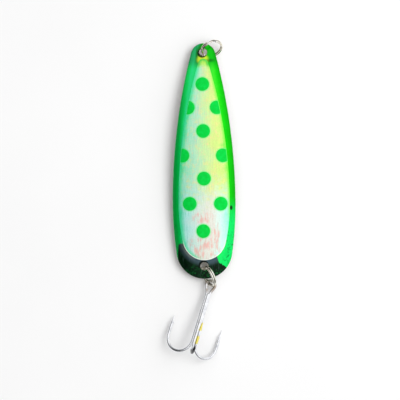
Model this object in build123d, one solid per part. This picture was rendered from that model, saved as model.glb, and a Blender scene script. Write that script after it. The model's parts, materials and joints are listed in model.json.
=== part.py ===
from build123d import *
import math
import os

os.makedirs("parts", exist_ok=True)

# A trolling spoon: a dished metal blade with a split ring at each end and a treble hook on the tail ring.
# Millimetres. While it is built, Y runs from the blade's tail end (0) to its nose, X runs across the blade,
# and the painted face looks up. At the end everything moves so that the origin is the centre of the base.

# Blade
blade_length = 95.25
blade_width = 25.4
blade_thickness = 0.9
widest_from_nose = 65.0
nose_radius = 5.0
tail_shoulder = 1.4         # the tail's round is this much less than half the width
edge_round = 0.2
dish_radius = 26.0          # across the blade
nose_bow_radius = 190.0     # along the blade, from its crown to the nose
tail_bow_radius = 420.0     # along the blade, from its crown towards the tail
tail_kick_radius = 60.0     # the last stretch, which turns down faster
crown_from_tail = 54.0
kick_length = 12.0
crown_height = 8.5
side_spare = 4.0            # how far the sheet is drawn past the outline before it is trimmed

# Split rings, both the same
ring_wire = 0.8
ring_outer_radius = 4.5
turn_gap = 0.02
crossover_start = 60.0      # round the coil from its far end, in degrees
crossover_degrees = 50.0
crossover_steps = 4         # places along the crossover that its curve passes through

# Holes for the rings
hole_play = 0.74
nose_hole_to_edge = 3.63
tail_hole_to_edge = 5.2

# Pearl tape and dots
tape_thickness = 0.12
tape_from_nose = 6.4
tape_from_tail = 7.6
tape_margin = 2.4
tape_nose_radius = 2.0
tape_tail_shoulder = 1.5    # the same for the tape's tail end
dot_diameter = 5.5
dot_thickness = 0.05
dot_inset = 0.15            # the dots stop this far inside the tape's edge
dot_rows = [                # distance from the nose, then the places across the blade
    (16.75, (-0.4,)),
    (26.2, (-6.3, 5.3)),
    (35.7, (-0.2,)),
    (45.5, (-8.6, 7.6)),
    (54.8, (0.0,)),
    (64.9, (-5.8, 6.7)),
    (75.9, (-0.4,)),
]

# Treble hook
hook_wire = 1.2
eye_play = 0.42
eye_to_legs = 3.5           # from the eye's centre to where the two legs meet
eye_to_third = 4.3          # from the eye's centre to the end of the third wire
wire_gap = 0.06             # filled by the braze
hook_length = 29.7          # from the eye's centre to the outside of the bends
bend_radius = 5.5
spear_length = 3.2
point_length = 4.9
point_tip_radius = 0.06
barb_length = 1.5
barb_rise = 0.55
barb_width = 0.45
barb_overhang = 0.375       # how far its free end reaches back past its foot
barb_from_tip = 3.3
double_facings = (-30.0, 210.0)   # the way each bend turns round the shank, in degrees from the right
third_facing = 90.0
braze_start = 5.0
braze_depth = 0.3           # how far it fills the grooves past the wires' centre lines

# Rest pose. Each ring hangs from its hole: yaw is the way it points, clockwise from the nose.
nose_ring_pose = dict(yaw=71.1, tilt=63.8, turn=7.9, shift=(-0.21, -0.19), side=1)
tail_ring_pose = dict(yaw=162.2, tilt=62.0, turn=-6.4, shift=(0.27, -0.49), side=-1)
eye_on_ring = 15.0          # where the eye sits on the tail ring, in degrees past its far end
hook_heading = 17.5         # the way the shank points, to the left of straight back
hook_pitch = 12.4           # the shank rises towards the bends
hook_roll = 4.0             # the third hook leans to the right

# Sizes that follow from those
half_width = blade_width / 2
tail_radius = half_width - tail_shoulder
tape_half_width = half_width - tape_margin
tape_tail_radius = tape_half_width - tape_tail_shoulder
ring_radius = ring_outer_radius - ring_wire / 2
turn_offset = (ring_wire + turn_gap) / 2
bundle_radius = turn_offset + ring_wire / 2
hole_radius = bundle_radius + hole_play
hook_wire_radius = hook_wire / 2
eye_radius = bundle_radius + eye_play + hook_wire_radius
wire_pitch = hook_wire + wire_gap
leg_offset = wire_pitch / 2
third_offset = wire_pitch * math.sqrt(3) / 2


def bow_planes():
    """The blade's centre line is three arcs that run on smoothly: each has its start plane, radius and way."""
    crown = Vector(0, crown_from_tail, crown_height)
    kick_station = kick_length
    kick_angle = math.asin((crown_from_tail - kick_station) / tail_bow_radius)
    kick_drop = tail_bow_radius * (1 - math.cos(kick_angle))
    kick_start = Vector(0, kick_station, crown_height - kick_drop)
    level = Vector(0, 0, 1)
    kick_up = Vector(0, -math.sin(kick_angle), math.cos(kick_angle))
    nose_span = math.degrees(math.asin((blade_length - crown_from_tail + side_spare) / nose_bow_radius))
    kick_centre_y = kick_station + tail_kick_radius * math.sin(kick_angle)
    kick_end = math.degrees(math.asin((kick_centre_y + side_spare) / tail_kick_radius))
    return [
        (crown, level, nose_bow_radius, nose_span, 1),
        (crown, level, tail_bow_radius, math.degrees(kick_angle), -1),
        (kick_start, kick_up, tail_kick_radius, kick_end - math.degrees(kick_angle), -1),
    ]


def crest(station):
    """The point on the painted face's centre line at a distance from the tail, and the way out of the face."""
    arcs = bow_planes()
    if station >= crown_from_tail:
        start, up, radius, _, _ = arcs[0]
    elif station >= kick_length:
        start, up, radius, _, _ = arcs[1]
    else:
        start, up, radius, _, _ = arcs[2]
    centre = start - up * radius
    lean = math.asin((station - centre.Y) / radius)
    out = Vector(0, math.sin(lean), math.cos(lean))
    return centre + out * radius, out


def dish_curve(radius, half_angle, way):
    """An arc over the blade's centre line, as a Bezier so that its swept face has no seam under the holes."""
    handle = radius * 4 / 3 * math.tan(half_angle / 2)
    ends = []
    for side in (-way, way):
        end = Vector(side * radius * math.sin(half_angle), radius * math.cos(half_angle))
        inward = Vector(-side * math.cos(half_angle), math.sin(half_angle))
        ends.append((end, end + inward * handle))
    return Bezier(ends[0][0], ends[0][1], ends[1][1], ends[1][0])


def sheet_layer(low, high):
    """The curved sheet between two heights above the painted face."""
    half_angle = math.asin((half_width + side_spare) / dish_radius)
    layer = None
    for start, up, radius, span, way in bow_planes():
        plane = Plane(origin=start - up * dish_radius, x_dir=(1, 0, 0), z_dir=Vector(1, 0, 0).cross(up))
        over = dish_curve(dish_radius + high, half_angle, 1)
        under = dish_curve(dish_radius + low, half_angle, -1)
        section = plane * make_face([over, Line(over @ 1, under @ 0), under, Line(under @ 1, over @ 0)])
        turning = Axis(start - up * radius, (-way, 0, 0))
        piece = revolve(section, turning, span)
        layer = piece if layer is None else layer + piece
    return layer


def teardrop(tip, tail, width_at, half, tip_round, tail_round):
    """A teardrop outline: a round at each end and one long arc on each flank, all tangent to each other."""
    edges = []
    for end, other, radius in ((tip, -1, tip_round), (tail, 1, tail_round)):
        round_centre = Vector(0, end + other * radius)
        reach = abs(width_at - round_centre.Y)
        flank = (reach**2 + half**2 - radius**2) / (2 * (half - radius))
        for mirror in (1, -1):
            flank_centre = Vector(mirror * (half - flank), width_at)
            away = (round_centre - flank_centre).normalized()
            meet = round_centre + away * radius
            widest = Vector(mirror * half, width_at)
            middle = flank_centre + ((meet - flank_centre) + (widest - flank_centre)).normalized() * flank
            edges.append(ThreePointArc(widest, middle, meet))
        meet_right = Vector(abs(meet.X), meet.Y)
        meet_left = Vector(-abs(meet.X), meet.Y)
        edges.append(ThreePointArc(meet_right, (0, end), meet_left))
    return make_face(edges)


def column(face):
    return extrude(face, 3 * crown_height)


def hole_plane(station):
    """The plane square to the sheet at a hole, halfway through its thickness."""
    top, out = crest(station)
    return Plane(origin=top - out * blade_thickness / 2, x_dir=(1, 0, 0), z_dir=out)


def make_blade():
    outline = teardrop(blade_length, 0, blade_length - widest_from_nose, half_width, nose_radius, tail_radius)
    blade = sheet_layer(-blade_thickness, 0) & column(outline)
    rims = blade.edges().filter_by(lambda edge: not edge.is_interior)
    blade = fillet(rims, edge_round) if edge_round else blade
    for station in (nose_station, tail_station):
        blade -= hole_plane(station) * Cylinder(hole_radius, 4 * blade_thickness)
    return blade


def tape_outline(inset):
    return teardrop(
        blade_length - tape_from_nose - inset,
        tape_from_tail + inset,
        blade_length - widest_from_nose,
        tape_half_width - inset,
        tape_nose_radius - inset,
        tape_tail_radius - inset,
    )


def make_tape():
    return sheet_layer(0, tape_thickness) & column(tape_outline(0))


def make_dots():
    spots = None
    for from_nose, places in dot_rows:
        for across in places:
            spot = Pos(across, blade_length - from_nose) * Circle(dot_diameter / 2)
            spots = spot if spots is None else spots + spot
    spots = spots & tape_outline(dot_inset)
    film = sheet_layer(tape_thickness, tape_thickness + dot_thickness)
    return film & column(spots)


def ring_plane(hole, yaw, tilt, turn, shift, side):
    """The ring's own plane: X points from the hole to the ring's far end, and Z is the coil's axis."""
    ahead = hole.y_dir
    across = hole.x_dir
    out = hole.z_dir
    along = across * math.sin(math.radians(yaw)) + ahead * math.cos(math.radians(yaw))
    flat = out.cross(along) * side
    climb = flat * math.cos(math.radians(tilt)) + out * math.sin(math.radians(tilt)) * side
    reach = along * math.cos(math.radians(turn)) + climb * math.sin(math.radians(turn))
    centre = hole.origin + across * shift[0] + ahead * shift[1] + reach * ring_radius
    return Plane(origin=centre, x_dir=along, z_dir=along.cross(climb))


def on_circle(plane, radius, angle, lift=0.0):
    turn = math.radians(angle)
    return plane.from_local_coords((radius * math.cos(turn), radius * math.sin(turn), lift))


def arc_rod(plane, radius, start, span, wire, lift=0.0):
    """A round wire along an arc about the plane's Z axis."""
    turn = math.radians(start)
    tangent = plane.y_dir * math.cos(turn) - plane.x_dir * math.sin(turn)
    section = Plane(origin=on_circle(plane, radius, start, lift), z_dir=tangent) * Circle(wire / 2)
    return revolve(section, Axis(plane.origin, plane.z_dir), span)


def rod(start, end, wire):
    run = end - start
    return extrude(Plane(origin=start, z_dir=run) * Circle(wire / 2), run.length)


def make_ring(plane):
    """Two flat turns of wire side by side. The wire steps from one to the other at the crossover."""
    span = 360 - crossover_degrees
    crossover_end = crossover_start + crossover_degrees
    lower = arc_rod(plane, ring_radius, crossover_end, span, ring_wire, -turn_offset)
    upper = arc_rod(plane, ring_radius, crossover_end, span, ring_wire, turn_offset)
    points = []
    for step in range(crossover_steps + 1):
        share = step / crossover_steps
        rise = share**2 * (3 - 2 * share)
        lift = turn_offset * (2 * rise - 1)
        points.append(on_circle(plane, ring_radius, crossover_start + crossover_degrees * share, lift))
    tangents = []
    for angle in (crossover_start, crossover_end):
        turn = math.radians(angle)
        tangents.append(plane.y_dir * math.cos(turn) - plane.x_dir * math.sin(turn))
    step_path = Spline(points, tangents=tangents)
    step_section = Plane(origin=points[0], z_dir=tangents[0]) * Circle(ring_wire / 2)
    return lower + sweep(step_section, step_path) + upper


def treble_plane(eye_centre):
    """X runs down the shank from the eye to the bends, and Z is the eye's axis, the way the third hook bends."""
    heading = math.radians(hook_heading)
    pitch = math.radians(hook_pitch)
    roll = math.radians(hook_roll)
    shank = Vector(
        -math.sin(heading) * math.cos(pitch), -math.cos(heading) * math.cos(pitch), math.sin(pitch)
    )
    level = shank.cross(Vector(0, 0, 1)).normalized()
    up = level.cross(shank)
    right = level if level.X > 0 else level * -1
    lean = up * math.cos(roll) + right * math.sin(roll)
    return Plane(origin=eye_centre, x_dir=shank, z_dir=lean)


def hook_wire_parts(plane, leg_y, leg_z, start, facing):
    """One hook: a straight leg, a round bend, a short spear and a barbed point. Facing is the bend's way."""
    radial = plane.y_dir * math.cos(math.radians(facing)) + plane.z_dir * math.sin(math.radians(facing))
    shank = plane.x_dir
    foot = plane.origin + plane.y_dir * leg_y + plane.z_dir * leg_z
    bend_start = hook_length - hook_wire_radius - bend_radius
    leg = rod(foot + shank * start, foot + shank * bend_start, hook_wire)
    centre = foot + shank * bend_start + radial * bend_radius
    bend_plane = Plane(origin=centre, x_dir=radial * -1, z_dir=(radial * -1).cross(shank))
    bend = arc_rod(bend_plane, bend_radius, 0, 180, hook_wire)
    spear_foot = centre + radial * bend_radius
    spear_end = spear_foot - shank * spear_length
    spear = rod(spear_foot, spear_end, hook_wire)
    cone_plane = Plane(origin=spear_end, z_dir=shank * -1)
    point = cone_plane * Cone(
        hook_wire_radius, point_tip_radius, point_length, align=(Align.CENTER, Align.CENTER, Align.MIN)
    )
    hook = leg + bend + spear + point
    return hook + make_barb(spear_end, shank, radial)


def make_barb(spear_end, shank, radial):
    """A small sliver raised on the inner side of the point, with its free end away from the tip."""
    inward = radial * -1
    barb_plane = Plane(origin=spear_end, x_dir=shank * -1, z_dir=(shank * -1).cross(inward))
    foot = point_length - barb_from_tip
    front = foot + barb_length
    taper = (hook_wire_radius - point_tip_radius) / point_length
    foot_depth = hook_wire_radius - taper * foot
    front_depth = hook_wire_radius - taper * front
    outline = Polyline(
        (foot, foot_depth / 2),
        (foot - barb_overhang, foot_depth + barb_rise),
        (front, front_depth),
        (front, front_depth / 2),
        close=True,
    )
    return extrude(barb_plane * make_face(outline), barb_width / 2, both=True)


def make_eye(plane):
    """The loop that rides on the ring. It closes in two straight runs that meet the legs."""
    reach = math.hypot(eye_to_legs, leg_offset)
    leg_angle = math.degrees(math.atan2(leg_offset, eye_to_legs) + math.acos(eye_radius / reach))
    loop = arc_rod(plane, eye_radius, leg_angle, 360 - 2 * leg_angle, hook_wire)
    for side in (1, -1):
        top = on_circle(plane, eye_radius, side * leg_angle)
        foot = plane.origin + plane.x_dir * eye_to_legs + plane.y_dir * (side * leg_offset)
        loop += rod(top, foot, hook_wire)
        loop += Pos(*foot) * Sphere(hook_wire_radius)
    return loop


def make_double_hook(plane):
    hook = make_eye(plane)
    for side, facing in zip((1, -1), double_facings):
        hook += hook_wire_parts(plane, side * leg_offset, 0, eye_to_legs, facing)
    return hook


def make_third_hook(plane):
    return hook_wire_parts(plane, 0, third_offset, eye_to_third, third_facing)


def make_braze(plane, wires):
    """Filler in the grooves between the three wires, along the stretch where they lie together."""
    end = hook_length - hook_wire_radius - bend_radius
    section = Plane(origin=plane.origin + plane.x_dir * braze_start, x_dir=plane.y_dir, z_dir=plane.x_dir)
    triangle = make_face(
        Polyline((-leg_offset, 0), (leg_offset, 0), (0, third_offset), close=True)
    )
    grooves = offset(triangle, braze_depth, kind=Kind.ARC)
    filler = extrude(section * grooves, end - braze_start)
    for wire in wires:
        filler -= wire
    return filler


nose_station = blade_length - nose_hole_to_edge
tail_station = tail_hole_to_edge
nose_hole = hole_plane(nose_station)
tail_hole = hole_plane(tail_station)
nose_ring_plane = ring_plane(nose_hole, **nose_ring_pose)
tail_ring_plane = ring_plane(tail_hole, **tail_ring_pose)
eye_centre = on_circle(tail_ring_plane, ring_radius, eye_on_ring)
hook_plane = treble_plane(eye_centre)

double_hook = make_double_hook(hook_plane)
third_hook = make_third_hook(hook_plane)
pieces = {
    "blade": make_blade(),
    "pearl_tape": make_tape(),
    "painted_dots": make_dots(),
    "nose_split_ring": make_ring(nose_ring_plane),
    "tail_split_ring": make_ring(tail_ring_plane),
    "treble_double_hook": double_hook,
    "treble_third_hook": third_hook,
    "treble_braze": make_braze(hook_plane, (double_hook, third_hook)),
}

whole = Compound(children=[Compound(piece.solids()) for piece in pieces.values()]).bounding_box()
base = Pos(-whole.center().X, -whole.center().Y, -whole.min.Z)
for name, piece in pieces.items():
    export_step(base * piece, f"parts/{name}.step")

hinges = {
    "nose_ring_swing": (nose_hole.origin, nose_hole.z_dir),
    "tail_ring_swing": (tail_hole.origin, tail_hole.z_dir),
    "treble_swing": (hook_plane.origin, hook_plane.z_dir),
    "line_tie": (nose_ring_plane.origin, nose_ring_plane.z_dir),
}
for name, (place, way) in hinges.items():
    moved = base * Pos(*place)
    print(name, [round(v, 4) for v in moved.position], [round(v, 5) for v in way])
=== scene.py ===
import json
import math
import bmesh
import bpy
import numpy as np
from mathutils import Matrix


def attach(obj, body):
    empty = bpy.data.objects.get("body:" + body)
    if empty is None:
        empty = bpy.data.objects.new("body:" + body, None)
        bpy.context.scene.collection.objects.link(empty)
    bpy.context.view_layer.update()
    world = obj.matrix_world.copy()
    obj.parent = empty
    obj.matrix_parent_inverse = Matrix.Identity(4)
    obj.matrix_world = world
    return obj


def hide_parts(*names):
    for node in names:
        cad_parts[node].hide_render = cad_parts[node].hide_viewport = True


# A trolling spoon: dished blade with candy lacquer and a pearl film, two split rings and a treble hook.
# Shapes are worked out in millimetres in the blade's own frame (Y from the tail end to the nose) and then
# moved to the row frame, whose place is read from the joints.

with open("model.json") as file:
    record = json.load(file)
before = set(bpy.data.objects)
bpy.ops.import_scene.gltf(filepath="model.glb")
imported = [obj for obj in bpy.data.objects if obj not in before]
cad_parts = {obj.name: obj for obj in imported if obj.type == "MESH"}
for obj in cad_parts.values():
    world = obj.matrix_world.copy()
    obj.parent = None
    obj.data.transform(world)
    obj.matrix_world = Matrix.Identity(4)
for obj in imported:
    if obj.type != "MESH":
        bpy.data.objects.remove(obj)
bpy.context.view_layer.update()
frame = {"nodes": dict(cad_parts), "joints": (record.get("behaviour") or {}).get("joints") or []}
joints = {joint["name"]: joint for joint in frame["joints"]}
perMetre = 1000.0   # millimetres
weldReach = 0.002   # mm: points nearer than this are one point
domeSteps = 4   # rings of points in the dome that closes a wire's end
print("frame loaded:", sorted(frame["nodes"]))


def linearColour(hexCode):
    # sRGB hex to linear RGBA
    parts = [int(hexCode[i:i + 2], 16) / 255 for i in (1, 3, 5)]
    return tuple(p / 12.92 if p <= 0.04045 else ((p + 0.055) / 1.055) ** 2.4 for p in parts) + (1.0,)


def addNode(tree, kind, inputs=None, give=0, stops=None, **settings):
    # one node with its settings, and one of its outputs comes back; an input that is a socket is linked,
    # a hex string is a colour, and anything else is its value
    made = tree.nodes.new(kind)
    for name, value in settings.items():
        setattr(made, name, value)
    if stops:
        elements = made.color_ramp.elements
        while len(elements) < len(stops):
            elements.new(1.0)
        for element, (place, colour) in zip(elements, stops):
            element.position = place
            element.color = linearColour(colour) if isinstance(colour, str) else (colour, colour, colour, 1.0)
    for name, value in (inputs or {}).items():
        if isinstance(value, bpy.types.NodeSocket):
            tree.links.new(value, made.inputs[name])
        else:
            made.inputs[name].default_value = linearColour(value) if isinstance(value, str) else value
    return made.outputs[give]


def startMaterial(name, **values):
    # a Principled material; values are set on the shader's own sockets
    material = bpy.data.materials.new(name)
    material.use_nodes = True
    tree = material.node_tree
    shader = tree.nodes["Principled BSDF"]
    for socket, value in values.items():
        shader.inputs[socket.replace("_", " ")].default_value = value
    return material, tree, shader


def gridFaces(rows, columns, closed):
    # quads of a grid whose vertices run row by row; closed joins the last column to the first
    wide = columns if closed else columns - 1
    row, column = np.meshgrid(np.arange(rows - 1), np.arange(wide), indexing="ij")
    beside = (column + 1) % columns
    start, above = row * columns, (row + 1) * columns
    return np.stack([start + column, start + beside, above + beside, above + column], -1).reshape(-1, 4)


def makePiece(name, patches, materials, body, node, fields=None):
    # patches are (points in mm, faces, material number), welded into closed shells that face outwards.
    # A field is a number at every point, worked out from the point's place in the blade's own frame.
    clouds = [points.reshape(-1, 3) for points, _, _ in patches]
    starts = np.cumsum([0] + [len(cloud) for cloud in clouds[:-1]])
    points = np.concatenate(clouds)
    faces = np.concatenate([patch[1] + start for patch, start in zip(patches, starts)])
    numbers = np.concatenate([np.full(len(patch[1]), patch[2]) for patch in patches])
    mesh = bpy.data.meshes.new(name)
    mesh.from_pydata((points / perMetre).tolist(), [], faces.tolist())
    mesh.polygons.foreach_set("material_index", numbers.astype(np.int32))
    for material in materials:
        mesh.materials.append(material)
    work = bmesh.new()
    work.from_mesh(mesh)
    bmesh.ops.remove_doubles(work, verts=work.verts, dist=weldReach / perMetre)
    bmesh.ops.dissolve_degenerate(work, edges=work.edges, dist=weldReach / perMetre)
    bmesh.ops.recalc_face_normals(work, faces=work.faces)
    openEdges = sum(1 for edge in work.edges if not edge.is_manifold)
    work.to_mesh(mesh)
    work.free()
    mesh.polygons.foreach_set("use_smooth", np.ones(len(mesh.polygons), bool))
    where = np.empty(len(mesh.vertices) * 3)
    mesh.vertices.foreach_get("co", where)
    x, y, z = (where.reshape(-1, 3) * perMetre - toRow).T
    for label, measure in (fields or {}).items():
        layer = mesh.attributes.new(label, "FLOAT", "POINT")
        layer.data.foreach_set("value", measure(x, y, z).astype(np.float32))
    piece = bpy.data.objects.new(name, mesh)
    bpy.context.scene.collection.objects.link(piece)
    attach(piece, body)
    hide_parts(node)
    print(name, len(mesh.polygons), "faces, open edges", openEdges)
    return piece


blade = dict(
    length=95.25, width=25.4, thickness=0.9, widest=30.25,
    noseRadius=5.0, tailRadius=11.3, rimRadius=0.2,
    dish=26.0, crown=54.0, crownHeight=8.5, noseBow=190.0, tailBow=420.0, kickBow=60.0, kickLength=12.0,
    noseHole=91.62, tailHole=5.2, holeRadius=1.55, holeLip=0.12, lipEase=0.3,
    rowsAcross=45, roundSteps=26, flankSteps=90, capSteps=16, rimSteps=6,
    noseCap=85.5, tailCap=11.5,   # where the rows across give way to rings round a hole
)
kickSine = (blade["crown"] - blade["kickLength"]) / blade["tailBow"]
kickCosine = math.sqrt(1 - kickSine**2)
bowDrop = blade["tailBow"] - blade["kickBow"]
bows = dict(   # centre's place along the blade, its height, and the bow's radius
    nose=(blade["crown"], blade["crownHeight"] - blade["noseBow"], blade["noseBow"]),
    tail=(blade["crown"], blade["crownHeight"] - blade["tailBow"], blade["tailBow"]),
    kick=(
        blade["crown"] - bowDrop * kickSine,
        blade["crownHeight"] - blade["tailBow"] + bowDrop * kickCosine,
        blade["kickBow"],
    ),
)


def sheetZ(x, y, height):
    # z = bow centre + sqrt((bow radius - dish + sqrt((dish + height)^2 - x^2))^2 - (y - bow centre y)^2)
    lift = np.sqrt((blade["dish"] + height)**2 - x**2) - blade["dish"]
    z = {}
    for name, (centreY, centreZ, radius) in bows.items():
        z[name] = centreZ + np.sqrt((radius + lift)**2 - (y - centreY)**2)
    kicked = (blade["crown"] - y) / (blade["tailBow"] + lift) > kickSine
    return np.where(y >= blade["crown"], z["nose"], np.where(kicked, z["kick"], z["tail"]))


def onSheet(x, y, height):
    return np.stack([x, y, sheetZ(x, y, height)], -1)


def sheetNormal(station):
    # the way out of the face on the blade's centre line
    centreY, _, radius = bows["nose"] if station >= blade["crown"] else bows["kick"]
    lean = math.asin((station - centreY) / radius)
    return np.array([0.0, math.sin(lean), math.cos(lean)])


holeOut = {name: sheetNormal(blade[name]) for name in ("noseHole", "tailHole")}


def teardropSide(shape, inset):
    # right-hand edge from the tail end to the nose end: end round, flank arc, flank arc, end round. A flank's
    # radius is (reach^2 + half^2 - r^2) / (2 (half - r)), and its centre lies level with the widest place.
    half = shape["width"] / 2
    pieces = []
    for way, end, endRadius in (
        (-1, shape.get("start", 0.0), shape["tailRadius"]), (1, shape["length"], shape["noseRadius"])
    ):
        centreY = end - way * endRadius
        reach = abs(shape["widest"] - centreY)
        flank = (reach**2 + half**2 - endRadius**2) / (2 * (half - endRadius))
        meet = math.atan2(reach, flank - half)
        flankAngles = np.linspace(0, meet, blade["flankSteps"])
        roundAngles = np.linspace(meet, math.pi / 2, blade["roundSteps"])
        flankRun = np.stack([
            half - flank + (flank - inset) * np.cos(flankAngles),
            shape["widest"] + way * (flank - inset) * np.sin(flankAngles),
        ], -1)
        roundRun = np.stack([
            (endRadius - inset) * np.cos(roundAngles),
            centreY + way * (endRadius - inset) * np.sin(roundAngles),
        ], -1)
        run = np.concatenate([flankRun, roundRun[1:]])
        pieces.append(run[::-1] if way < 0 else run[1:])
    side = np.concatenate(pieces)
    side[0, 0] = side[-1, 0] = 0.0
    return side


def teardropGap(x, y, shape):
    # how far a point lies outside the outline, negative inside: its distance from the nearest arc's centre,
    # less that arc's radius
    half = shape["width"] / 2
    x = np.abs(x)
    gaps = {}
    for way, end, endRadius in (
        (-1, shape.get("start", 0.0), shape["tailRadius"]), (1, shape["length"], shape["noseRadius"])
    ):
        centreY = end - way * endRadius
        reach = abs(shape["widest"] - centreY)
        flank = (reach**2 + half**2 - endRadius**2) / (2 * (half - endRadius))
        flankX = half - flank
        along = way * (y - shape["widest"])
        onRound = along * -flankX > reach * (x - flankX)
        byRound = np.hypot(x, y - centreY) - endRadius
        byFlank = np.hypot(x - flankX, along) - flank
        gaps[way] = np.where(onRound, byRound, byFlank)
    return np.where(y >= shape["widest"], gaps[1], gaps[-1])


def closedEdge(shape, inset, height):
    # the whole outline as a closed loop at one height above the face
    side = teardropSide(shape, inset)
    loop = np.concatenate([side, side[-2:0:-1] * [-1, 1]])
    return onSheet(loop[:, 0], loop[:, 1], height)


def roundedRim(shape, low, high, radius):
    # the edge of a sheet: quarter rounds at the top and bottom with a straight wall between
    turns = np.linspace(0, math.pi / 2, blade["rimSteps"])
    steps = [(radius * (1 - math.sin(a)), high - radius * (1 - math.cos(a))) for a in turns]
    steps += [(radius * (1 - math.sin(a)), low + radius * (1 - math.cos(a))) for a in turns[::-1]]
    return np.stack([closedEdge(shape, inset, height) for inset, height in steps])


def holeRing(name, angles, radius, height):
    # a circle about the hole's axis, slid along that axis until it lies in the sheet
    out = holeOut[name]
    ahead = np.cross(out, [1.0, 0.0, 0.0])
    ring = holeAxis[name] + radius * (np.cos(angles)[:, None] * [1.0, 0, 0] + np.sin(angles)[:, None] * ahead)
    for _ in range(5):
        miss = ring[:, 2] - sheetZ(ring[:, 0], ring[:, 1], height)
        ring = ring - (miss / out[2])[:, None] * out
    return ring


def bowPoint(station):
    centreY, centreZ, radius = bows["nose"] if station >= blade["crown"] else bows["kick"]
    return np.array([0.0, centreY, centreZ]) + sheetNormal(station) * radius


holeAxis = {name: bowPoint(blade[name]) - holeOut[name] * blade["thickness"] / 2 for name in holeOut}
# the nose ring's joint stands at the middle of the nose hole, which gives the move to the row frame
toRow = np.array(joints["nose_ring_swing"]["pos_m"]) * perMetre - holeAxis["noseHole"]


def makeBlade(materials):
    rim = blade["rimRadius"]
    side = teardropSide(blade, rim)
    tailRow = int(np.argmin(np.abs(side[:, 1] - blade["tailCap"])))
    noseRow = int(np.argmin(np.abs(side[:, 1] - blade["noseCap"])))
    across = np.linspace(-1, 1, blade["rowsAcross"])
    lip = blade["holeLip"]
    thick = blade["thickness"]
    patches = []
    # middle: rows from the left edge to the right edge, over and under
    rows = side[tailRow:noseRow + 1]
    x = rows[:, :1] * across
    y = np.repeat(rows[:, 1:], len(across), 1)
    for height, number in ((0.0, 0), (-thick, 1)):
        patches.append((onSheet(x, y, height), gridFaces(*x.shape, False), number))
    # ends: rings that grow from the hole to the outline and the last row
    for name, loop in (
        ("noseHole", np.concatenate([
            side[noseRow:], side[-2:noseRow - 1:-1] * [-1, 1],
            np.stack([across[1:-1] * side[noseRow, 0], np.full(len(across) - 2, side[noseRow, 1])], -1),
        ])),
        ("tailHole", np.concatenate([
            side[tailRow::-1], side[1:tailRow + 1] * [-1, 1],
            np.stack([across[1:-1] * side[tailRow, 0], np.full(len(across) - 2, side[tailRow, 1])], -1),
        ])),
    ):
        angles = np.arctan2(loop[:, 1] - holeAxis[name][1], loop[:, 0])
        share = np.linspace(0, 1, blade["capSteps"])[:, None, None]
        for height, number in ((0.0, 0), (-thick, 1)):
            inner = holeRing(name, angles, blade["holeRadius"] + lip, height)[:, :2]
            plan = inner + (loop - inner) * share
            patches.append((
                onSheet(plan[..., 0], plan[..., 1], height), gridFaces(*plan.shape[:2], True), number
            ))
        ease = blade["lipEase"] * lip
        wall = [
            (lip, 0.0), (ease, -ease), (0.0, -lip),
            (0.0, lip - thick), (ease, ease - thick), (lip, -thick),
        ]
        rings = np.stack([
            holeRing(name, angles, blade["holeRadius"] + grow, height) for grow, height in wall
        ])
        patches.append((rings, gridFaces(*rings.shape[:2], True), 1))
    edge = roundedRim(blade, -thick, 0.0, rim)
    faces = gridFaces(*edge.shape[:2], True)
    split = edge.shape[1] * blade["rimSteps"]   # the lacquer ends halfway down the edge
    patches.append((edge, faces[:split], 0))
    patches.append((edge, faces[split:], 1))
    patches = [(points + toRow, faces, number) for points, faces, number in patches]
    fields = dict(
        rimGap=lambda x, y, z: -teardropGap(x, y, blade),
        tapeGap=lambda x, y, z: teardropGap(x, y, tape),
        across=lambda x, y, z: acrossShare(x, y),
    )
    return makePiece("blade_sheet", patches, materials, "blade", "blade", fields)


def acrossShare(x, y):
    # -1 on the left edge, 1 on the right edge; the half width counts as 0.5 mm at least, at the very ends
    side = teardropSide(blade, 0.0)
    half = np.interp(y, side[:, 1], side[:, 0])
    return np.clip(x / np.maximum(half, 0.5), -1, 1)


tape = dict(
    start=7.6, length=88.85, width=20.6, widest=30.25, noseRadius=2.0, tailRadius=8.8,
    thickness=0.12, edgeRound=0.04, rowsAcross=61,
)
dots = dict(
    radius=2.75, thickness=0.05, inset=0.15, feather=0.3, turnSteps=96, halvings=24,
    rings=[0.0, 0.25, 0.5, 0.7, 0.8, 0.88, 0.93, 0.97, 0.99, 1.0],   # shares of the radius
    places=[(-0.4, 78.5), (-6.3, 69.05), (5.3, 69.05), (-0.2, 59.55), (-8.6, 49.75), (7.6, 49.75),
            (0.0, 40.45), (-5.8, 30.35), (6.7, 30.35), (-0.4, 19.35)],
)


def dotGap(x, y):
    # distance outside the nearest dot
    gaps = [np.hypot(x - dotX, y - dotY) - dots["radius"] for dotX, dotY in dots["places"]]
    return np.min(gaps, axis=0)


def makeTape(material):
    side = teardropSide(tape, tape["edgeRound"])
    across = np.linspace(-1, 1, tape["rowsAcross"])
    x = side[:, :1] * across
    y = np.repeat(side[:, 1:], len(across), 1)
    patches = [(onSheet(x, y, height), gridFaces(*x.shape, False), 0) for height in (0.0, tape["thickness"])]
    edge = roundedRim(tape, 0.0, tape["thickness"], tape["edgeRound"])
    patches.append((edge, gridFaces(*edge.shape[:2], True), 0))
    patches = [(points + toRow, faces, number) for points, faces, number in patches]
    fields = dict(
        edgeGap=lambda x, y, z: -teardropGap(x, y, tape),
        dotGap=lambda x, y, z: dotGap(x, y),
        across=lambda x, y, z: acrossShare(x, y),
    )
    return makePiece("pearl_film", patches, [material], "blade", "pearl_tape", fields)


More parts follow.
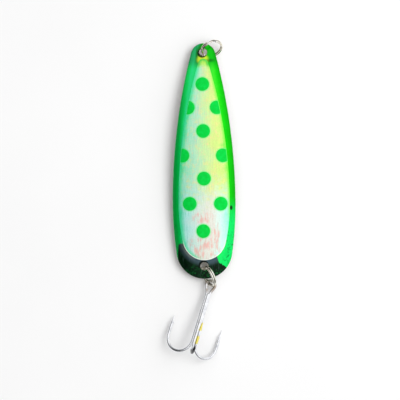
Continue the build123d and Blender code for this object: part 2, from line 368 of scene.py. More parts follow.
def makeDots(material):
    angles = np.linspace(0, 2 * math.pi, dots["turnSteps"], endpoint=False)
    shares = np.array(dots["rings"])[:, None]
    low, high = tape["thickness"], tape["thickness"] + dots["thickness"]
    patches = []
    for dotX, dotY in dots["places"]:
        # how far the dot reaches each way before the film ends, by halving
        near, far = np.zeros_like(angles), np.full_like(angles, dots["radius"])
        for _ in range(dots["halvings"]):
            reach = (near + far) / 2
            fits, whole = (
                teardropGap(dotX + out * np.cos(angles), dotY + out * np.sin(angles), tape) < -dots["inset"]
                for out in (reach, far)
            )
            near = np.where(whole, far, np.where(fits, reach, near))
            far = np.where(whole | fits, far, reach)
        x = dotX + shares * near * np.cos(angles)
        y = dotY + shares * near * np.sin(angles)
        inward = np.clip((1 - shares) * near / dots["feather"], 0, 1)
        swell = low + (high - low) * np.sqrt(1 - (1 - inward)**2)
        for height in (swell, np.full_like(swell, low)):
            patches.append((onSheet(x, y, height) + toRow, gridFaces(*x.shape, True), 0))
    return makePiece("paint_dots", patches, [material], "blade", "painted_dots")


def wireTube(path, radii, reference, sides, flatten=1.0):
    # ring of points round each place of a path: place + radius (cos a * side + sin a * up), closed by domes
    tangents = np.gradient(path, axis=0)
    tangents /= np.linalg.norm(tangents, axis=1)[:, None]
    dome = np.linspace(0, math.pi / 2, domeSteps + 1)[1:]
    head = path[0] - tangents[0] * (radii[0] * np.sin(dome))[::-1, None]
    foot = path[-1] + tangents[-1] * (radii[-1] * np.sin(dome))[:, None]
    places = np.concatenate([head, path, foot])
    sizes = np.concatenate([(radii[0] * np.cos(dome))[::-1], radii, radii[-1] * np.cos(dome)])
    tangents = np.concatenate([
        np.repeat(tangents[:1], domeSteps, 0), tangents, np.repeat(tangents[-1:], domeSteps, 0)
    ])
    sideways = np.cross(tangents, reference)
    sideways /= np.linalg.norm(sideways, axis=1)[:, None]
    upward = np.cross(sideways, tangents)
    turn = np.linspace(0, 2 * math.pi, sides, endpoint=False)
    ring = np.cos(turn)[:, None] * sideways[:, None] + flatten * np.sin(turn)[:, None] * upward[:, None]
    return places[:, None] + sizes[:, None, None] * ring, gridFaces(len(places), sides, True)


def evenPath(path, spacing):
    # the same path with equal steps
    run = np.concatenate([[0], np.cumsum(np.linalg.norm(np.diff(path, axis=0), axis=1))])
    steps = np.linspace(0, run[-1], int(run[-1] / spacing) + 1)
    return np.stack([np.interp(steps, run, path[:, k]) for k in range(3)], -1)


def softened(path, reach):
    # a short moving average that rounds the corners and leaves the ends
    weights = np.hanning(2 * reach + 3)[1:-1]
    weights /= weights.sum()
    before = 2 * path[0] - path[reach:0:-1]
    after = 2 * path[-1] - path[-2:-reach - 2:-1]
    longer = np.concatenate([before, path, after])
    return np.stack([np.convolve(longer[:, k], weights, "valid") for k in range(3)], -1)


ringWire = dict(
    wire=0.8, radius=4.1, turnGap=0.02, crossoverAt=60.0, crossover=50.0, endThin=0.82, endSteps=5,
    stepDegrees=2.5, sides=30,
)
ringPoses = dict(
    noseHole=dict(joint="nose_ring_swing", yaw=71.1, tilt=63.8, turn=7.9, shift=(-0.21, -0.19), side=1),
    tailHole=dict(joint="tail_ring_swing", yaw=162.2, tilt=62.0, turn=-6.4, shift=(0.27, -0.49), side=-1),
)


def ringAxes(pose):
    # the ring hangs from the hole's middle: yaw is the way it points, tilt is how far it stands up, and turn
    # is its roll in its own plane
    joint = joints[pose["joint"]]
    origin = np.array(joint["pos_m"]) * perMetre
    out = np.array(joint["axis"])
    right = np.array([1.0, 0.0, 0.0])
    ahead = np.cross(out, right)
    yaw, tilt, turn = (math.radians(pose[key]) for key in ("yaw", "tilt", "turn"))
    along = right * math.sin(yaw) + ahead * math.cos(yaw)
    flat = np.cross(out, along) * pose["side"]
    climb = flat * math.cos(tilt) + out * math.sin(tilt) * pose["side"]
    reach = along * math.cos(turn) + climb * math.sin(turn)
    centre = origin + right * pose["shift"][0] + ahead * pose["shift"][1] + reach * ringWire["radius"]
    return centre, along, climb, np.cross(along, climb)


def makeRing(name, pose, body, node, material):
    # two turns side by side: the wire climbs from one to the other over the crossover, and the ends lie
    # against it
    centre, along, climb, axis = ringAxes(pose)
    flatSpan = 360 - ringWire["crossover"]
    wholeSpan = 2 * flatSpan + ringWire["crossover"]
    swept = np.arange(0, wholeSpan + ringWire["stepDegrees"] / 2, ringWire["stepDegrees"])
    angle = np.radians(ringWire["crossoverAt"] + ringWire["crossover"] + swept)
    share = np.clip((swept - flatSpan) / ringWire["crossover"], 0, 1)
    lift = (ringWire["wire"] + ringWire["turnGap"]) / 2 * (2 * share**2 * (3 - 2 * share) - 1)
    radial = np.cos(angle)[:, None] * along + np.sin(angle)[:, None] * climb
    path = centre + ringWire["radius"] * radial + lift[:, None] * axis
    radii = np.full(len(path), ringWire["wire"] / 2)
    # the cut ends are dressed a little thinner
    fromEnd = np.minimum(np.arange(len(path)), np.arange(len(path))[::-1])
    radii *= np.interp(fromEnd, [0, ringWire["endSteps"]], [ringWire["endThin"], 1])
    points, faces = wireTube(path, radii, axis, ringWire["sides"])
    # distance from the flat face where the two turns meet
    fields = dict(turnGap=lambda x, y, z: np.abs((np.stack([x, y, z], -1) + toRow - centre) @ axis))
    return makePiece(name, [(points, faces, 0)], [material], body, node, fields)


hook = dict(
    wire=1.2, eyeRadius=1.83, eyeToLegs=3.5, eyeToThird=4.3, legOffset=0.63, thirdOffset=1.0912,
    length=29.7, bendRadius=5.5, spear=3.2, point=4.9, tipRadius=0.06, tipCurve=0.85,
    legFacings=(-30, 210), thirdFacing=90, heading=17.5, pitch=12.4,
    spacing=0.14, sides=28, bendSteps=60, eyeSteps=90, softenReach=4,
)
barb = dict(
    length=1.5, reach=1.25, rise=0.87, flare=1.4, sunk=0.1, fromTip=3.3,
    thick=0.17, thin=0.03, taper=0.6, oval=1.3, steps=14, sides=14,
)
hookPlace = np.array(joints["treble_swing"]["pos_m"]) * perMetre
hookLean = np.array(joints["treble_swing"]["axis"])
headingTurn, pitchTurn = math.radians(hook["heading"]), math.radians(hook["pitch"])
hookShank = np.array([
    -math.sin(headingTurn) * math.cos(pitchTurn),
    -math.cos(headingTurn) * math.cos(pitchTurn),
    math.sin(pitchTurn),
])
hookSide = np.cross(hookLean, hookShank)
bendStart = hook["length"] - hook["wire"] / 2 - hook["bendRadius"]


def fromHook(points):
    # from (down the shank, sideways, up) about the eye's middle to the row frame
    points = np.asarray(points)
    return hookPlace + points[..., :1] * hookShank + points[..., 1:2] * hookSide + points[..., 2:] * hookLean


def limbPath(legY, legZ, start, facing):
    # leg, half-circle bend, spear and point: down the shank, then out by R (1 - cos a), then back up
    radial = np.array([math.cos(math.radians(facing)), math.sin(math.radians(facing))])
    bend = np.linspace(0, math.pi, hook["bendSteps"])
    down = np.concatenate([
        [start], bendStart + hook["bendRadius"] * np.sin(bend), [bendStart - hook["spear"] - hook["point"]]
    ])
    out = np.concatenate([[0], hook["bendRadius"] * (1 - np.cos(bend)), [2 * hook["bendRadius"]]])
    return np.stack([down, legY + out * radial[0], legZ + out * radial[1]], -1)


def barbPatch(legY, legZ, facing):
    # a sliver lifted off the inner side of the point, thin at its free end
    radial = np.array([math.cos(math.radians(facing)), math.sin(math.radians(facing))])
    tip = bendStart - hook["spear"] - hook["point"]
    share = np.linspace(0, 1, barb["steps"])
    down = tip + barb["fromTip"] - barb["length"] + share * barb["length"] * barb["reach"]
    inner = 2 * hook["bendRadius"] - barb["sunk"] - barb["rise"] * share ** barb["flare"]
    path = np.stack([down, legY + inner * radial[0], legZ + inner * radial[1]], -1)
    radii = barb["thick"] * (1 - share) ** barb["taper"] + barb["thin"]
    return wireTube(path, radii, np.array([0.0, -radial[1], radial[0]]), barb["sides"], barb["oval"])


def wireRadii(path, bothEnds):
    # full wire, ground down evenly over the point
    run = np.concatenate([[0], np.cumsum(np.linalg.norm(np.diff(path, axis=0), axis=1))])
    toTip = run[-1] - run
    if bothEnds:
        toTip = np.minimum(toTip, run)
    share = np.clip(toTip / hook["point"], 0, 1)
    return hook["tipRadius"] + (hook["wire"] / 2 - hook["tipRadius"]) * share ** hook["tipCurve"]


def makeDoubleHook(material):
    reach = math.hypot(hook["eyeToLegs"], hook["legOffset"])
    legTurn = math.atan2(hook["legOffset"], hook["eyeToLegs"]) + math.acos(hook["eyeRadius"] / reach)
    loop = np.linspace(legTurn, 2 * math.pi - legTurn, hook["eyeSteps"])
    eye = hook["eyeRadius"] * np.stack([np.cos(loop), np.sin(loop), np.zeros_like(loop)], -1)
    legs = list(zip((hook["legOffset"], -hook["legOffset"]), hook["legFacings"]))
    right, left = (limbPath(offset, 0, hook["eyeToLegs"], facing) for offset, facing in legs)
    wholePath = np.concatenate([right[::-1], eye, left])
    path = softened(evenPath(wholePath, hook["spacing"]), hook["softenReach"])
    points, faces = wireTube(path, wireRadii(path, True), [0.0, 0.0, 1.0], hook["sides"])
    patches = [(fromHook(points), faces, 0)]
    for offset, facing in legs:
        points, faces = barbPatch(offset, 0, facing)
        patches.append((fromHook(points), faces, 0))
    return makePiece("double_hook", patches, [material], "treble", "treble_double_hook")


def makeThirdHook(material):
    limb = limbPath(0, hook["thirdOffset"], hook["eyeToThird"], hook["thirdFacing"])
    path = softened(evenPath(limb, hook["spacing"]), hook["softenReach"])
    points, faces = wireTube(path, wireRadii(path, False), [0.0, 1.0, 0.0], hook["sides"])
    patches = [(fromHook(points), faces, 0)]
    points, faces = barbPatch(0, hook["thirdOffset"], hook["thirdFacing"])
    patches.append((fromHook(points), faces, 0))
    return makePiece("third_hook", patches, [material], "treble", "treble_third_hook")


braze = dict(
    start=5.0, grooveDepth=0.664, cornerReach=1.0, endSquareness=24, turnSteps=72, runSteps=120,
    # each ripple: share of the reach, waves along the joint in radians per mm, turns round it, shift
    ripples=[(0.006, 1.9, 2, 0.0), (0.0036, 4.3, -1, 1.3)],
)


def makeBraze(material):
    # three flat grooves: distance = depth / cos(angle from the groove), no further than the wires' middles
    run = np.linspace(0, 1, braze["runSteps"])
    down = braze["start"] + run * (bendStart - braze["start"])
    angle = np.linspace(0, 2 * math.pi, braze["turnSteps"], endpoint=False)
    fromGroove = (angle + math.pi / 2 + math.pi / 3) % (2 * math.pi / 3) - math.pi / 3
    reach = np.minimum(braze["grooveDepth"] / np.cos(fromGroove), braze["cornerReach"])
    # filler that ran: slow ripples along the joint that turn slowly round it
    wave = sum(
        size * np.sin(down[:, None] * pace + turns * angle + shift)
        for size, pace, turns, shift in braze["ripples"]
    )
    ends = np.sqrt(np.clip(1 - (2 * run - 1) ** braze["endSquareness"], 0, 1))[:, None]
    reach = reach * (1 + wave) * ends
    middle = hook["thirdOffset"] / 3
    points = np.stack([
        np.repeat(down[:, None], len(angle), 1), reach * np.cos(angle), middle + reach * np.sin(angle)
    ], -1)
    return makePiece(
        "braze_fillet", [(fromHook(points), gridFaces(*points.shape[:2], True), 0)], [material],
        "treble", "treble_braze",
    )


def objectMillimetres(tree, centre=(0.0, 0.0, 0.0)):
    # Object coordinates in millimetres from a centre given in millimetres
    place = addNode(tree, "ShaderNodeTexCoord", give="Object")
    scaled = addNode(tree, "ShaderNodeVectorMath", {0: place, "Scale": perMetre}, operation="SCALE")
    return addNode(tree, "ShaderNodeVectorMath", {0: scaled, 1: tuple(centre)}, operation="SUBTRACT")


def zoneShare(tree, *edges):
    # a mask with smooth edges: each (value, off, full) grows from 0 at off to 1 at full, and they multiply
    share = 1.0
    for value, off, full in edges:
        grown = addNode(
            tree, "ShaderNodeMapRange", {"Value": value, "From Min": off, "From Max": full},
            interpolation_type="SMOOTHSTEP",
        )
        share = addNode(tree, "ShaderNodeMath", {0: share, 1: grown}, operation="MULTIPLY")
    return share


def spotShare(tree, place, middle, size, soft):
    # an oval spot round a place on the blade: 1 up to (1 - soft) sizes out, 0 from (1 + soft) sizes out
    away = addNode(tree, "ShaderNodeVectorMath", {0: place, 1: (*middle, 0.0)}, operation="SUBTRACT")
    squeeze = (1 / size[0], 1 / size[1], 0.0)
    squeezed = addNode(tree, "ShaderNodeVectorMath", {0: away, 1: squeeze}, operation="MULTIPLY")
    gap = addNode(tree, "ShaderNodeVectorMath", {0: squeezed}, give="Value", operation="LENGTH")
    return zoneShare(tree, (gap, 1 + soft, 1 - soft))


def layered(tree, colour, *layers):
    # colours laid over one another: each layer is (mask, how much of it shows, its colour)
    for mask, strength, over in layers:
        share = addNode(tree, "ShaderNodeMath", {0: mask, 1: strength}, operation="MULTIPLY")
        colour = addNode(tree, "ShaderNodeMix", {0: share, 6: colour, 7: over}, give=2, data_type="RGBA")
    return colour


def spotLayers(tree, place, spots):
    return [(spotShare(tree, place, *spot[:3]), *spot[3:]) for spot in spots]


def finishMaterial(tree, shader, look, colour, pattern, height=None):
    # the colour, a roughness that follows a noise pattern, and a bump where there is one
    tree.links.new(colour, shader.inputs["Base Color"])
    low, high = look.get("patternSpan", (0.3, 0.7))
    rough = addNode(tree, "ShaderNodeMapRange", {
        "Value": pattern, "From Min": low, "From Max": high,
        "To Min": look["roughness"][0], "To Max": look["roughness"][1],
    })
    tree.links.new(rough, shader.inputs["Roughness"])
    if height:
        strength, distance = look["bump"]
        bump = addNode(tree, "ShaderNodeBump", {"Strength": strength, "Distance": distance, "Height": height})
        tree.links.new(bump, shader.inputs["Normal"])


lacquer = dict(
    # from the left edge to the right edge, over the blade and over its nose: the coat is deeper at the edges,
    # and the ramps also hold painted light and shade: a bluer left flank, a yellower right flank, bright
    # bands inside the edges, and lighter and darker facets at the nose
    body=[(0.0, "#2ecc6e"), (0.04, "#00d850"), (0.09, "#00f468"), (0.14, "#3cffae"), (0.22, "#38f69a"),
          (0.5, "#00c840"), (0.8, "#3ce428"), (0.88, "#0cd806"), (0.94, "#00c400"), (1.0, "#00a800")],
    nose=[(0.0, "#1c9454"), (0.18, "#20b468"), (0.24, "#12903a"), (0.3, "#06861a"), (0.5, "#00b010"),
          (0.85, "#04c010"), (1.0, "#009608")],
    noseFrom=(84.0, 88.5), wander=0.12,
    # washes: span along the blade, span from side to side, how much shows, colour
    washes=[((34.0, 22.0), (0.2, 0.6), 0.9, "#08ee6c"), ((58.0, 74.0), (-0.2, -0.5), 0.6, "#08cc58")],
    # middle, size, softness, how much shows, colour
    noseSpots=[
        ((-0.2, 88.6), (2.2, 2.0), 0.35, 0.9, "#cfe838"),   # painted highlight, yellow-green, where the film ends
        ((-2.6, 91.4), (0.35, 2.6), 0.7, 0.6, "#04661c"),   # painted shade of a crease left of the hole
        ((2.9, 88.2), (1.6, 0.6), 0.9, 0.7, "#055a14"),   # painted shadow of the nose ring, a dark arc on its right
    ],
    nick=((10.9, 28.7), (0.55, 0.9), 0.3, 0.95, "#03240c"),
    # painted shade, nearly black, on one side of each hole: the hole and the shift from its middle, then
    # size, softness, how much shows and colour
    paintedHoleShades=[("tailHole", (-0.4, 0.35)), ("noseHole", (-0.4, -0.3))],
    paintedHoleShade=((1.95, 1.95), 0.1, 0.95, "#010a05"),
    # the tail's dark zone, a painted dark reflection in the lacquer, ends along two straight lines, y = slope
    # x + rise, and no higher than a limit
    darkLines=[(-2.67, 22.4), (-0.7, 10.9)], darkLimit=14.4, darkRagged=1.4,
    stripSlope=-0.2, stripEdge=(-1.65, -1.35), stripUpTo=(-7.0, -6.0),
    deep=[(0.3, "#011608"), (0.5, "#03280f"), (0.7, "#06461e")], slate="#42565f", paleSlate="#78837e",
    fleck="#12883c", scratch="#7ea39a", grit="#03481e",
    roughness=(0.14, 0.28), patternSpan=(0.3, 0.8), bump=(0.06, 0.0002),
)


# candy lacquer over nickel: sprayed, clear and green, so the bright metal shows through and the edges go deep
def makeCandyLacquer():
    material, tree, shader = startMaterial(
        "candy_lacquer_over_nickel",
        Metallic=0.6, Specular_IOR_Level=0.15, Coat_Weight=0.08, Coat_Roughness=0.08,
    )
    place = objectMillimetres(tree, toRow)
    x, y, _ = addNode(tree, "ShaderNodeSeparateXYZ", {0: place}).node.outputs
    across, rimGap, tapeGap = (
        addNode(tree, "ShaderNodeAttribute", give="Fac", attribute_name=name)
        for name in ("across", "rimGap", "tapeGap")
    )
    # clouds about 3 mm across, specks about 0.7 mm across and orange peel about 1.5 mm across; scratches
    # about 0.2 mm wide and 6 mm long, drawn wider than real ones so that they show
    cloud = addNode(tree, "ShaderNodeTexNoise", {"Vector": place, "Scale": 0.35, "Detail": 3.0})
    speck = addNode(tree, "ShaderNodeTexNoise", {"Vector": place, "Scale": 1.4, "Detail": 4.0})
    peel = addNode(tree, "ShaderNodeTexNoise", {"Vector": place, "Scale": 0.7, "Detail": 2.0})
    slant = addNode(tree, "ShaderNodeMapping", {
        "Vector": place, "Rotation": (0.0, 0.0, 0.6), "Scale": (4.5, 0.16, 1),
    })
    scratch = addNode(tree, "ShaderNodeTexNoise", {"Vector": slant, "Scale": 1.0, "Detail": 2.0})
    wander = lacquer["wander"]
    along = addNode(tree, "ShaderNodeMath", {0: cloud, 1: wander, 2: across}, operation="MULTIPLY_ADD")
    along = addNode(
        tree, "ShaderNodeMapRange", {"Value": along, "From Min": wander / 2 - 1, "From Max": wander / 2 + 1})
    # the ramps across carry painted light and shade as well as the lacquer's own green
    body = addNode(tree, "ShaderNodeValToRGB", {"Fac": along}, stops=lacquer["body"])
    nose = addNode(tree, "ShaderNodeValToRGB", {"Fac": along}, stops=lacquer["nose"])
    for alongSpan, acrossSpan, strength, wash in lacquer["washes"]:
        body = layered(tree, body, (zoneShare(tree, (y, *alongSpan), (across, *acrossSpan)), strength, wash))
    body = layered(tree, body, (zoneShare(tree, (y, *lacquer["noseFrom"])), 1.0, nose))
    body = layered(tree, body, *spotLayers(tree, place, lacquer["noseSpots"]))
    # tail end: a painted dark reflection in the lacquer, almost black. It ends along the higher of two lines
    # on the right, reaches up beside the film on the left, and leaves a green strip there that narrows
    # downwards
    lines = [
        addNode(tree, "ShaderNodeMath", {0: x, 1: slope, 2: rise}, operation="MULTIPLY_ADD")
        for slope, rise in lacquer["darkLines"]
    ]
    limit = addNode(tree, "ShaderNodeMath", {0: lines[0], 1: lines[1]}, operation="MAXIMUM")
    limit = addNode(tree, "ShaderNodeMath", {0: limit, 1: lacquer["darkLimit"]}, operation="MINIMUM")
    limit = addNode(
        tree, "ShaderNodeMath", {0: speck, 1: lacquer["darkRagged"], 2: limit}, operation="MULTIPLY_ADD")
    below = addNode(tree, "ShaderNodeMath", {0: limit, 1: y}, operation="SUBTRACT")
    strip = addNode(
        tree, "ShaderNodeMath", {0: y, 1: lacquer["stripSlope"], 2: rimGap}, operation="MULTIPLY_ADD")
    inside = addNode(tree, "ShaderNodeMath", {
        0: zoneShare(tree, (strip, *lacquer["stripEdge"])), 1: zoneShare(tree, (x, *lacquer["stripUpTo"])),
    }, operation="MAXIMUM")
    dark = addNode(
        tree, "ShaderNodeMath", {0: zoneShare(tree, (below, 0.6, 1.0)), 1: inside}, operation="MULTIPLY")
    # the painted dark reflection, with slate bands near the film's end and green flecks and pale scratches
    # laid over it
    tail = layered(
        tree, addNode(tree, "ShaderNodeValToRGB", {"Fac": cloud}, stops=lacquer["deep"]),
        (zoneShare(tree, (tapeGap, 3.0, 0.9)), 0.95, lacquer["slate"]),
        (zoneShare(tree, (tapeGap, 1.5, 0.4), (x, -3.0, -6.5)), 0.75, lacquer["paleSlate"]),
        (zoneShare(tree, (speck, 0.56, 0.64), (y, 5.5, 3.5)), 0.6, lacquer["fleck"]),
        (zoneShare(tree, (scratch, 0.62, 0.7)), 0.22, lacquer["scratch"]),
    )
    # grit and short scratches under the lacquer along the lower edges
    clear = (below, 0.5, -0.5)
    grit = lacquer["grit"]
    body = layered(
        tree, body, (dark, 1.0, tail),
        (zoneShare(tree, (speck, 0.56, 0.62), (y, 25.0, 18.0), (across, 0.6, 0.8), clear), 0.8, grit),
        (zoneShare(tree, (scratch, 0.62, 0.68), (y, 30.0, 22.0), (across, 0.62, 0.8), clear), 0.6, grit),
        (zoneShare(tree, (speck, 0.6, 0.66), (y, 28.0, 20.0), (across, -0.8, -0.92)), 0.6, grit),
        *spotLayers(tree, place, [lacquer["nick"]]),
        # painted shade round one side of each hole
        *spotLayers(tree, place, [
            ((shift[0], holeAxis[hole][1] + shift[1]), *lacquer["paintedHoleShade"])
            for hole, shift in lacquer["paintedHoleShades"]
        ]),
    )
    finishMaterial(tree, shader, lacquer, body, speck, peel)
    return material


nickel = dict(
    tarnish=[(0.35, "#d9d6cd"), (0.55, "#cdc8bb"), (0.72, "#b3a88f")],
    roughness=(0.12, 0.24), bump=(0.12, 0.00003),
)


# bright nickel on rolled brass: fine rolling lines along the blade, slight tarnish
def makeBareNickel():
    material, tree, shader = startMaterial("nickel_plated_brass", Metallic=1.0)
    place = objectMillimetres(tree, toRow)
    # rolling lines about 0.15 mm wide and 4 mm long, and tarnish clouds about 8 mm across
    stretch = addNode(tree, "ShaderNodeVectorMath", {0: place, 1: (6.0, 0.25, 6.0)}, operation="MULTIPLY")
    lines = addNode(tree, "ShaderNodeTexNoise", {"Vector": stretch, "Scale": 1.0, "Detail": 3.0})
    tarnish = addNode(tree, "ShaderNodeTexNoise", {"Vector": place, "Scale": 0.12, "Detail": 4.0})
    colour = addNode(tree, "ShaderNodeValToRGB", {"Fac": tarnish}, stops=nickel["tarnish"])
    finishMaterial(tree, shader, nickel, colour, lines, lines)
    return material


film = dict(
    # from the left edge to the right edge, over the upper and the lower part of the film
    upper=[(0.08, "#58ea9c"), (0.2, "#9cf0c8"), (0.34, "#b2ecca"), (0.5, "#c8eea8"), (0.68, "#d4ec88"),
           (0.84, "#cbee7e"), (0.95, "#80e850")],
    lower=[(0.08, "#6ae4c0"), (0.2, "#b4f0e8"), (0.4, "#d8ece0"), (0.6, "#e6e4d8"), (0.8, "#d0f4ea"),
           (0.95, "#8cf6d4")],
    lowerFrom=(50.0, 33.0), lowerRagged=14.0, driftShift=0.7, streakShift=0.5,
    # salmon above the last dot, at its right and in the space below it: middle, size
    salmonPlaces=[((-0.4, 24.8), (4.2, 2.2)), ((4.6, 18.0), (1.6, 4.6)), ((-0.4, 12.4), (7.2, 4.4))],
    salmonSoft=0.3, salmonStreaks=(0.43, 0.64), salmon="#f29a90",
    warm="#f0e68c", peach="#f2c6a0", creep="#2fe49a", rightLine="#74f240", halo="#52ee84", edge="#f4faf0",
    tip="#b4ea4c", tipEdge="#20c840",
    toneStart=0.65, toneByStreak=0.36, toneByGrain=0.3, roughness=(0.28, 0.42), bump=(0.15, 0.00003),
)


# pearl film: pressed plastic foil with a brushed hologram, so pale hues drift over it in fine streaks
def makePearlFilm():
    material, tree, shader = startMaterial(
        "brushed_pearl_film", Metallic=0.15, Specular_IOR_Level=0.35, Coat_Weight=0.1, Coat_Roughness=0.1)
    place = objectMillimetres(tree, toRow)
    y = addNode(tree, "ShaderNodeSeparateXYZ", {0: place}, give=1)
    across, edgeGap, dotEdge = (
        addNode(tree, "ShaderNodeAttribute", give="Fac", attribute_name=name)
        for name in ("across", "edgeGap", "dotGap")
    )
    # hues that drift over about 6 mm, patches about 1.8 mm across and pressed grain about 0.4 mm across
    drift = addNode(tree, "ShaderNodeTexNoise", {"Vector": place, "Scale": 0.16, "Detail": 3.0})
    patch = addNode(tree, "ShaderNodeTexNoise", {"Vector": place, "Scale": 0.55, "Detail": 4.0})
    grain = addNode(tree, "ShaderNodeTexNoise", {"Vector": place, "Scale": 2.4, "Detail": 2.0})
    # streaks run along the blade, about 0.3 mm wide and 5 mm long, and broad ones about 0.8 mm wide and 3 mm
    # long
    fine = addNode(tree, "ShaderNodeVectorMath", {0: place, 1: (3.2, 0.2, 0.4)}, operation="MULTIPLY")
    streak = addNode(tree, "ShaderNodeTexNoise", {"Vector": fine, "Scale": 1.0, "Detail": 4.0})
    broad = addNode(tree, "ShaderNodeVectorMath", {0: place, 1: (1.2, 0.32, 0.4)}, operation="MULTIPLY")
    column = addNode(tree, "ShaderNodeTexNoise", {"Vector": broad, "Scale": 1.0, "Detail": 3.0})
    slide = across
    for noise, shift in ((drift, film["driftShift"]), (streak, film["streakShift"])):
        slide = addNode(tree, "ShaderNodeMath", {0: noise, 1: shift, 2: slide}, operation="MULTIPLY_ADD")
    middle = (film["driftShift"] + film["streakShift"]) / 2
    hue = addNode(
        tree, "ShaderNodeMapRange", {"Value": slide, "From Min": middle - 1, "From Max": middle + 1})
    upper, lower = (
        addNode(tree, "ShaderNodeValToRGB", {"Fac": hue}, stops=film[part]) for part in ("upper", "lower")
    )
    fade = addNode(tree, "ShaderNodeMath", {0: patch, 1: film["lowerRagged"], 2: y}, operation="MULTIPLY_ADD")
    salmon = 0.0
    for spotMiddle, size in film["salmonPlaces"]:
        spot = spotShare(tree, place, spotMiddle, size, film["salmonSoft"])
        salmon = addNode(tree, "ShaderNodeMath", {0: salmon, 1: spot}, operation="MAXIMUM")
    streaked = zoneShare(tree, (column, *film["salmonStreaks"]))
    salmon = addNode(tree, "ShaderNodeMath", {0: salmon, 1: streaked}, operation="MULTIPLY")
    colour = layered(
        tree, upper,
        (zoneShare(tree, (fade, *film["lowerFrom"])), 1.0, lower),
        (zoneShare(tree, (patch, 0.5, 0.72), (y, 24.0, 34.0)), 0.45, film["warm"]),
        (zoneShare(tree, (grain, 0.5, 0.7), (column, 0.42, 0.62), (y, 26.0, 36.0)), 0.7, film["peach"]),
        (salmon, 0.6, film["salmon"]),
        # sprayed green creeps over the edges of the film, and a soft halo stays round each dot
        (zoneShare(tree, (edgeGap, 2.2, 0.0), (across, 0.0, -0.4)), 0.9, film["creep"]),
        (zoneShare(tree, (edgeGap, 1.3, 0.1), (across, 0.2, 0.6), (y, 22.0, 30.0)), 0.8, film["rightLine"]),
        (zoneShare(tree, (dotEdge, 0.7, 0.0)), 0.7, film["halo"]),
        # the cut edge shows pale at the tail, and the tip is under thin green
        (zoneShare(tree, (edgeGap, 0.5, 0.15), (y, 17.0, 12.5)), 0.95, film["edge"]),
        (zoneShare(tree, (y, 84.6, 87.4)), 0.9, film["tip"]),
        (zoneShare(tree, (y, 84.6, 86.6), (edgeGap, 1.6, 0.2)), 0.85, film["tipEdge"]),
    )
    tone = film["toneStart"]
    for noise, share in ((streak, film["toneByStreak"]), (grain, film["toneByGrain"])):
        tone = addNode(tree, "ShaderNodeMath", {0: noise, 1: share, 2: tone}, operation="MULTIPLY_ADD")
    colour = addNode(tree, "ShaderNodeHueSaturation", {"Color": colour, "Value": tone})
    finishMaterial(tree, shader, film, colour, streak, streak)
    return material


dotPaint = dict(clouds=[(0.3, "#00c83c"), (0.5, "#00d042"), (0.7, "#04d84a")], roughness=(0.3, 0.42))


# enamel paint: sprayed through a mask, even, with a thin edge
def makeDotPaint():
    material, tree, shader = startMaterial("green_enamel", Specular_IOR_Level=0.08)
    place = objectMillimetres(tree, toRow)
    # paint clouds about 1.5 mm across
    cloud = addNode(tree, "ShaderNodeTexNoise", {"Vector": place, "Scale": 0.7, "Detail": 2.0})
    colour = addNode(tree, "ShaderNodeValToRGB", {"Fac": cloud}, stops=dotPaint["clouds"])
    finishMaterial(tree, shader, dotPaint, colour, cloud)
    return material


ringPlating = dict(
    # the dark colour here is painted shade in the seam where the two turns meet
    stains=[(0.35, "#fbfaf4"), (0.55, "#ece8da"), (0.75, "#c4b288")], seamShade="#2c2924", seamShadeEdge=(0.2, 0.1),
    roughness=(0.05, 0.14),
)


# nickel-plated spring wire: drawn and polished, bright, with painted shade in the seam between the turns
def makeRingMetal():
    material, tree, shader = startMaterial("nickel_plated_spring_wire", Metallic=1.0)
    place = objectMillimetres(tree, toRow)
    turnGap = addNode(tree, "ShaderNodeAttribute", give="Fac", attribute_name="turnGap")
    # stains about 2 mm across
    stain = addNode(tree, "ShaderNodeTexNoise", {"Vector": place, "Scale": 0.5, "Detail": 4.0})
    colour = addNode(tree, "ShaderNodeValToRGB", {"Fac": stain}, stops=ringPlating["stains"])
    # the painted shade in the seam is drawn 0.3 mm wide, about twice the real width, so that it shows
    seamShaded = zoneShare(tree, (turnGap, *ringPlating["seamShadeEdge"]))
    colour = layered(tree, colour, (seamShaded, 0.9, ringPlating["seamShade"]))
    finishMaterial(tree, shader, ringPlating, colour, stain)
    return material


hookPlating = dict(
    clouds=[(0.3, "#fafbfe"), (0.55, "#eceef2"), (0.75, "#cfd1d8")], brown="#8d7550", yellow="#f2e04c",
    # the near-black at the bottom of the raised hook's bend is a painted dark reflection
    yellowRuns=[(17.3, 20.6), (22.8, 26.0)], runSoft=0.3, bendDarkReflection="#161718", bendDarkReflectionFrom=(27.0, 28.0),
    roughness=(0.06, 0.16),
)


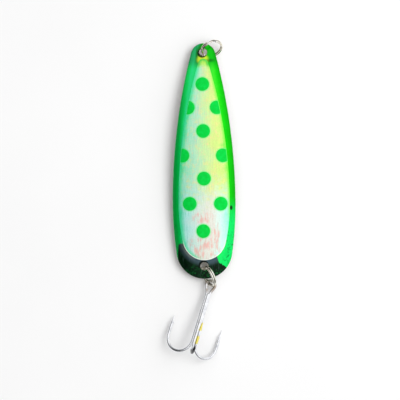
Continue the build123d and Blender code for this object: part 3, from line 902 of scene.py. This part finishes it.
# tin-plated hook steel: dipped, so it is bright and a little cloudy, browner round the eye
def makeHookMetal():
    material, tree, shader = startMaterial("tin_plated_steel", Metallic=1.0)
    place = objectMillimetres(tree, hookPlace)
    # plating clouds about 2 mm across
    cloud = addNode(tree, "ShaderNodeTexNoise", {"Vector": place, "Scale": 0.45, "Detail": 4.0})
    colour = addNode(tree, "ShaderNodeValToRGB", {"Fac": cloud}, stops=hookPlating["clouds"])
    fromEye = addNode(tree, "ShaderNodeVectorMath", {0: place}, give="Value", operation="LENGTH")
    down, lifted = (
        addNode(
            tree, "ShaderNodeVectorMath", {0: place, 1: tuple(way)}, give="Value", operation="DOT_PRODUCT")
        for way in (hookShank, hookLean)
    )
    colour = layered(
        tree, colour, (zoneShare(tree, (fromEye, 4.5, 2.0), (cloud, 0.35, 0.6)), 0.7, hookPlating["brown"]))
    # yellow lacquer left in two runs on the raised hook, and a painted dark reflection at the bottom of its
    # bend
    soft = hookPlating["runSoft"]
    for start, end in hookPlating["yellowRuns"]:
        run = zoneShare(
            tree, (lifted, 8.0, 10.0), (down, start - soft, start + soft), (down, end + soft, end - soft))
        colour = layered(tree, colour, (run, 0.85, hookPlating["yellow"]))
    bendDarkReflection = zoneShare(tree, (lifted, 2.0, 4.0), (down, *hookPlating["bendDarkReflectionFrom"]))
    colour = layered(tree, colour, (bendDarkReflection, 0.9, hookPlating["bendDarkReflection"]))
    finishMaterial(tree, shader, hookPlating, colour, cloud)
    return material


brazeFlow = dict(bare=[(0.42, "#e8e9ea"), (0.54, "#ece6c4"), (0.64, "#ead86a")], roughness=(0.18, 0.32))


# brass filler: flowed into the grooves, plated over, yellow where the plating is thin
def makeBrazeMetal():
    material, tree, shader = startMaterial("brass_braze", Metallic=1.0)
    place = objectMillimetres(tree, hookPlace)
    # bare patches about 4.5 mm long
    cloud = addNode(tree, "ShaderNodeTexNoise", {"Vector": place, "Scale": 0.22, "Detail": 3.0})
    colour = addNode(tree, "ShaderNodeValToRGB", {"Fac": cloud}, stops=brazeFlow["bare"])
    finishMaterial(tree, shader, brazeFlow, colour, cloud)
    return material


candyLacquer, bareNickel = makeCandyLacquer(), makeBareNickel()
makeBlade([candyLacquer, bareNickel])
makeTape(makePearlFilm())
makeDots(makeDotPaint())
ringMetal = makeRingMetal()
makeRing("nose_ring_coil", ringPoses["noseHole"], "nose_ring", "nose_split_ring", ringMetal)
makeRing("tail_ring_coil", ringPoses["tailHole"], "tail_ring", "tail_split_ring", ringMetal)
hookMetal = makeHookMetal()
makeDoubleHook(hookMetal)
makeThirdHook(hookMetal)
makeBraze(makeBrazeMetal())
print("pieces made")


studio = dict(
    floorSize=20.0, floorColours=[(0.3, "#f4f4f4"), (0.7, "#f6f6f6")], skyWay=(0.5, 0.2, 0.84),
    skyLevels=[(0.0, 0.05), (0.25, 0.12), (0.5, 0.75), (0.8, 1.05), (1.0, 1.15)],
    keyPlace=(0.42, 0.10, 0.80), keySize=0.5, keyPower=3.7,
    cameraPlace=(-0.00017, 0.00013, 0.5555), lens=122.7, roll=-0.4,
)


def makeFloor():
    half = studio["floorSize"] / 2
    mesh = bpy.data.meshes.new("floor")
    corners = [(-half, -half, 0), (half, -half, 0), (half, half, 0), (-half, half, 0)]
    mesh.from_pydata(corners, [], [(0, 1, 2, 3)])
    floor = bpy.data.objects.new("floor", mesh)
    bpy.context.scene.collection.objects.link(floor)
    material, tree, shader = startMaterial("matt_white_card", Roughness=0.9, Specular_IOR_Level=0.1)
    place = objectMillimetres(tree)
    # clouds about 5 cm across
    grain = addNode(tree, "ShaderNodeTexNoise", {"Vector": place, "Scale": 0.02, "Detail": 2.0})
    colour = addNode(tree, "ShaderNodeValToRGB", {"Fac": grain}, stops=studio["floorColours"])
    tree.links.new(colour, shader.inputs["Base Color"])
    mesh.materials.append(material)


def makeSky():
    # a soft tent, brightest up and to the right; its dark low left side draws the lines along bright wires
    world = bpy.data.worlds.new("light_tent")
    bpy.context.scene.world = world
    world.use_nodes = True
    tree = world.node_tree
    way = np.array(studio["skyWay"]) / np.linalg.norm(studio["skyWay"])
    place = addNode(tree, "ShaderNodeTexCoord", give="Generated")
    facing = addNode(
        tree, "ShaderNodeVectorMath", {0: place, 1: tuple(way)}, give="Value", operation="DOT_PRODUCT")
    glow = addNode(tree, "ShaderNodeValToRGB", {"Fac": facing}, stops=studio["skyLevels"])
    tree.links.new(glow, tree.nodes["Background"].inputs["Color"])


def makeKey():
    lamp = bpy.data.lights.new("key_softbox", "AREA")
    lamp.shape = "SQUARE"
    lamp.size = studio["keySize"]
    lamp.energy = studio["keyPower"]
    key = bpy.data.objects.new("key_softbox", lamp)
    key.location = studio["keyPlace"]
    key.visible_glossy = False   # the tent alone shows in the gloss, so no hard glare crosses the blade
    away = key.location.normalized()
    key.rotation_mode = "QUATERNION"
    key.rotation_quaternion = away.to_track_quat("Z", "Y")
    bpy.context.scene.collection.objects.link(key)


def makeCamera():
    lens = bpy.data.cameras.new("camera")
    lens.lens = studio["lens"]
    lens.clip_start, lens.clip_end = 0.05, 10.0
    camera = bpy.data.objects.new("camera", lens)
    camera.location = studio["cameraPlace"]
    camera.rotation_euler = (0.0, 0.0, math.radians(studio["roll"]))
    bpy.context.scene.collection.objects.link(camera)
    bpy.context.scene.camera = camera


makeFloor()
makeSky()
makeKey()
makeCamera()
bpy.context.scene.view_settings.view_transform = "Standard"
print("studio made")
